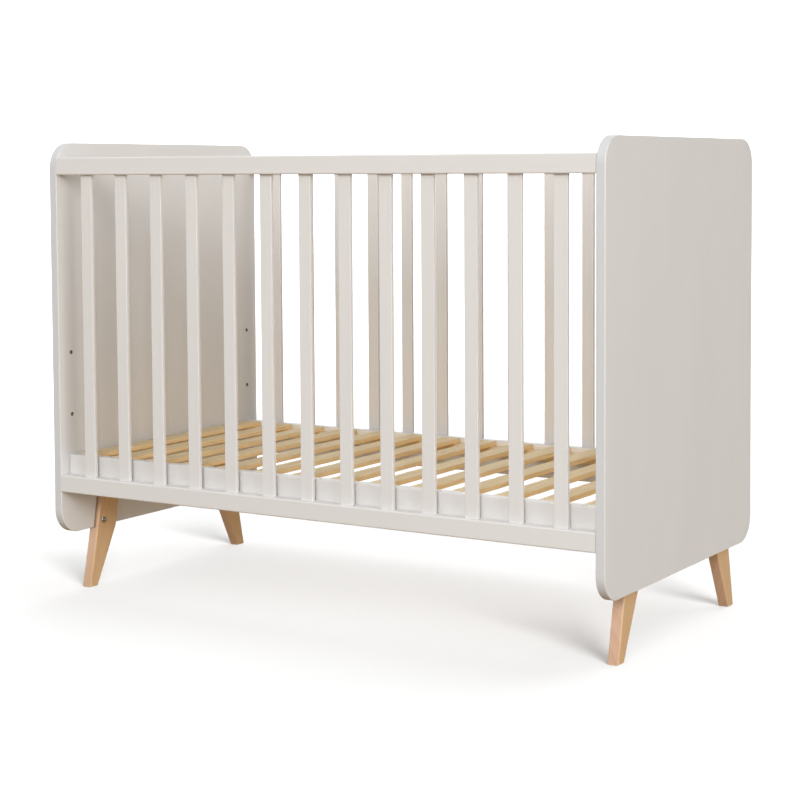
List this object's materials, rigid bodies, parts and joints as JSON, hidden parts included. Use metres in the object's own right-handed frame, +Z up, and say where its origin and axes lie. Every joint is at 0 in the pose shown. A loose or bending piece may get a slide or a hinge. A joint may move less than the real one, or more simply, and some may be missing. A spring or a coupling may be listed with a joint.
{
  "type": "baby crib",
  "caption": "Baby crib with flat round-cornered end panels, slatted sides, splayed wooden legs and a height-adjustable slatted mattress base.",
  "frame": {"origin": "on the floor, under the middle of the crib", "axes": "+X along the crib's length towards its right end panel, +Y from the front side to the rear side, +Z up"},
  "size_m": [1.24, 0.66, 0.915],
  "materials": {
    "white_paint": "satin off-white lacquer over wood and board",
    "pine": "bare planed pine",
    "beech": "clear satin lacquer",
    "steel": "zinc-plated"
  },
  "bodies": {
    "crib_frame": {"left_end_panel": "white_paint", "right_end_panel": "white_paint", "front_top_rail": "white_paint", "front_bottom_rail": "white_paint", "front_slat_01": "white_paint", "front_slat_02": "white_paint", "front_slat_03": "white_paint", "front_slat_04": "white_paint", "front_slat_05": "white_paint", "front_slat_06": "white_paint", "front_slat_07": "white_paint", "front_slat_08": "white_paint", "front_slat_09": "white_paint", "front_slat_10": "white_paint", "front_slat_11": "white_paint", "front_slat_12": "white_paint", "front_slat_13": "white_paint", "rear_top_rail": "white_paint", "rear_bottom_rail": "white_paint", "rear_slat_01": "white_paint", "rear_slat_02": "white_paint", "rear_slat_03": "white_paint", "rear_slat_04": "white_paint", "rear_slat_05": "white_paint", "rear_slat_06": "white_paint", "rear_slat_07": "white_paint", "rear_slat_08": "white_paint", "rear_slat_09": "white_paint", "rear_slat_10": "white_paint", "rear_slat_11": "white_paint", "rear_slat_12": "white_paint", "rear_slat_13": "white_paint", "left_front_leg": "beech", "left_rear_leg": "beech", "right_front_leg": "beech", "right_rear_leg": "beech", "left_front_leg_bolt": "steel", "left_rear_leg_bolt": "steel", "right_front_leg_bolt": "steel", "right_rear_leg_bolt": "steel"},
    "mattress_base": {"base_front_board": "white_paint", "base_rear_board": "white_paint", "base_front_ledger": "pine", "base_rear_ledger": "pine", "base_cross_slat_01": "pine", "base_cross_slat_02": "pine", "base_cross_slat_03": "pine", "base_cross_slat_04": "pine", "base_cross_slat_05": "pine", "base_cross_slat_06": "pine", "base_cross_slat_07": "pine", "base_cross_slat_08": "pine", "base_cross_slat_09": "pine", "base_cross_slat_10": "pine", "base_cross_slat_11": "pine", "base_cross_slat_12": "pine", "base_cross_slat_13": "pine", "base_cross_slat_14": "pine"}
  },
  "joints": [
    {"name": "mattress_base_height", "type": "slide", "parent": "crib_frame", "child": "mattress_base", "axis": [0, 0, 1], "range_m": [0, 0.253]}
  ]
}
